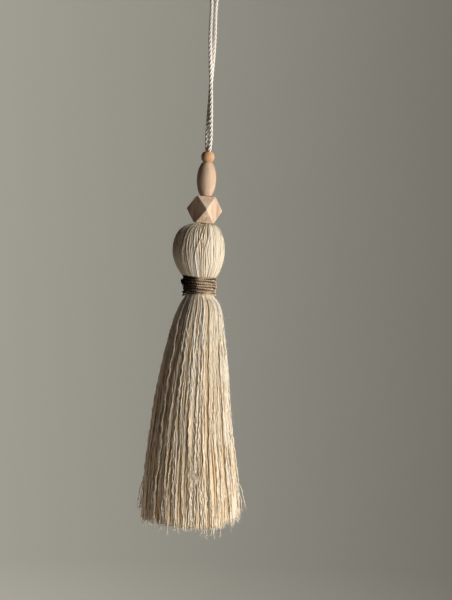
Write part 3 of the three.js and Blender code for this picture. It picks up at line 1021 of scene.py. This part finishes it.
def winding(top, bottom, turns, inset):
    """A twine's route in turns from one level to another, wound a little unevenly."""
    share = np.linspace(0, 1, 128 * turns)
    angle = TURN * turns * share + math.radians(KNOT_ANGLE)
    level = top + share * (bottom - top)
    level = level + 0.0004 * np.cos(angle + 2.6) * np.sin(np.pi * share) + 0.0003 * np.sin(angle * 2.37)
    radius = np.interp(share, (0, 0.2, 1), BINDING_RADII) - inset
    radius = radius + 0.0003 * np.sin(angle * 2.3 + 1) + 0.0001 * np.sin(angle * 7.1)
    route = radius[:, None] * around(angle)
    route[:, 0] += BINDING_SWAY + 0.0003 * share
    route[:, 2] = level
    return route


def add_binding():
    """The turns that show, and an under layer that shows between them, in a lower tone as painted shade.
    """
    top, bottom = BINDING_TOP + 0.0002, BINDING_BOTTOM + TWINE_RADIUS
    half_pitch = (top - bottom) / TWINE_TURNS / 2
    turns = winding(top, bottom, TWINE_TURNS, inset=0)
    twine_piece("binding_twine_turns", turns, (0.85, 1.15), "binding_twine")
    # Painted shade: the under layer takes a lower tone, for the shadow in the gaps between the turns.
    under = winding(top - half_pitch, bottom + half_pitch, TWINE_TURNS - 1, inset=0.0006)
    twine_piece("binding_twine_under", under, (0.6, 0.8))


def add_knot():
    """An overhand knot on the side of the binding, and its short tail."""
    side = math.radians(KNOT_ANGLE)
    out = np.array([math.cos(side), math.sin(side), 0])
    across = np.array([-out[1], out[0], 0])
    up = np.array([0, 0, 1])
    place = KNOT_REACH * out + (-0.001, 0, BINDING_TOP - KNOT_DROP)
    # Painted shade: the knot and its tail take a lower tone than the turns, on the shaded side.
    tone = (0.5, 0.6)

    def on_side(points):
        return place + points[:, :1] * across + points[:, 1:2] * up + points[:, 2:] * out

    t = np.linspace(0, TURN, 120)
    along, rise, depth = np.sin(t) + 2 * np.sin(2 * t), np.cos(t) - 2 * np.cos(2 * t), -np.sin(3 * t)
    knot = np.stack([along, rise, depth], axis=-1)
    twine_piece("binding_knot", on_side(KNOT_SIZE * knot), tone)
    tail = (
        (0, 0, 0),
        (-0.0016, -0.0006, -0.0002),
        (-0.0032, -0.0016, -0.0005),
        (-0.0046, -0.0031, -0.0009),
    )
    twine_piece("binding_tail", on_side(smooth_line(tail, 40)), tone)


add_binding()
add_knot()


# Stage and light

def stage_paint():
    """Matt paint, pale on the floor and greyer up the wall."""
    material, tree, shader = new_material("stage_paint", Roughness=1.0, Specular_IOR_Level=0.0)
    place = make(tree, "ShaderNodeTexCoord").outputs["Object"]
    height = make(tree, "ShaderNodeSeparateXYZ", {"Vector": place}).outputs["Z"]
    limits = {"Value": height, "From Min": FLOOR_Z, "From Max": FLOOR_Z + CORNER_RADIUS}
    rise = make(tree, "ShaderNodeMapRange", limits).outputs["Result"]
    shade = add_scaled(tree, rise, stretched_noise(tree, (1.2, 1.2, 1.2), detail=1.0), 0.1)
    tint = ramp(tree, shade, ((0.0, (0.85, 0.845, 0.78)), (1.0, (0.45, 0.453, 0.415))))
    tree.links.new(tint, shader.inputs["Base Color"])
    return material


def add_stage():
    """A pale floor that sweeps up into a round wall."""
    bend = np.linspace(0, math.pi / 2, 24)
    corner_radius = FLOOR_RADIUS + CORNER_RADIUS * np.sin(bend)
    corner_height = FLOOR_Z + CORNER_RADIUS * (1 - np.cos(bend))
    radius = np.concatenate([[0.01, FLOOR_RADIUS], corner_radius, [FLOOR_RADIUS + CORNER_RADIUS]])
    height = np.concatenate([[FLOOR_Z, FLOOR_Z], corner_height, [WALL_TOP]])
    sweep = add_rings("stage_sweep", level_rings(radius, height, 96), closed=False)
    sweep.data.materials.append(stage_paint())
    for ray in ("diffuse", "glossy", "transmission", "shadow"):
        setattr(sweep, f"visible_{ray}", False)


def add_sun(name, azimuth, elevation, strength, softness, colour):
    """A sun that shines from an azimuth to the right of the camera. Angles are in degrees."""
    data = bpy.data.lights.new(name, "SUN")
    data.energy = strength
    data.angle = math.radians(softness)
    data.color = colour
    sun = bpy.data.objects.new(name, data)
    a, e = math.radians(azimuth), math.radians(elevation)
    source = Vector((math.sin(a) * math.cos(e), -math.cos(a) * math.cos(e), math.sin(e)))
    sun.rotation_euler = source.to_track_quat("Z", "Y").to_euler()
    bpy.context.collection.objects.link(sun)


def add_card(name, place, aim, size, power, colour):
    """A small round lamp close to the part, as a reflector card would throw light back."""
    data = bpy.data.lights.new(name, "AREA")
    data.shape = "DISK"
    data.size = size
    data.energy = power
    data.color = colour
    card = bpy.data.objects.new(name, data)
    card.location = place
    card.visible_camera = False
    card.rotation_euler = (Vector(place) - Vector(aim)).to_track_quat("Z", "Y").to_euler()
    bpy.context.collection.objects.link(card)


def add_light():
    add_sun("key", azimuth=63, elevation=1, strength=4.0, softness=48, colour=(1.0, 0.955, 0.9))
    add_sun("bounce", azimuth=238, elevation=5, strength=0.2, softness=30, colour=(1.0, 0.81, 0.67))
    add_card(
        "low_card", place=(0.07, -0.19, -0.52), aim=(-0.005, 0, -0.37), size=0.05, power=0.13,
        colour=(1.0, 0.93, 0.85),
    )
    add_card(
        "left_card", place=(-0.18, -0.03, -0.41), aim=(-0.03, 0, -0.37), size=0.06, power=0.045,
        colour=(1.0, 0.9, 0.8),
    )
    add_sun("back", azimuth=180, elevation=25, strength=2.2, softness=25, colour=(1.0, 0.97, 0.93))
    world = bpy.data.worlds.new("studio")
    bpy.context.scene.world = world
    world.use_nodes = True
    background = world.node_tree.nodes["Background"]
    background.inputs["Color"].default_value = (1.0, 0.73, 0.6, 1)
    background.inputs["Strength"].default_value = 0.026
    bpy.context.scene.view_settings.view_transform = "Standard"


add_stage()
add_light()
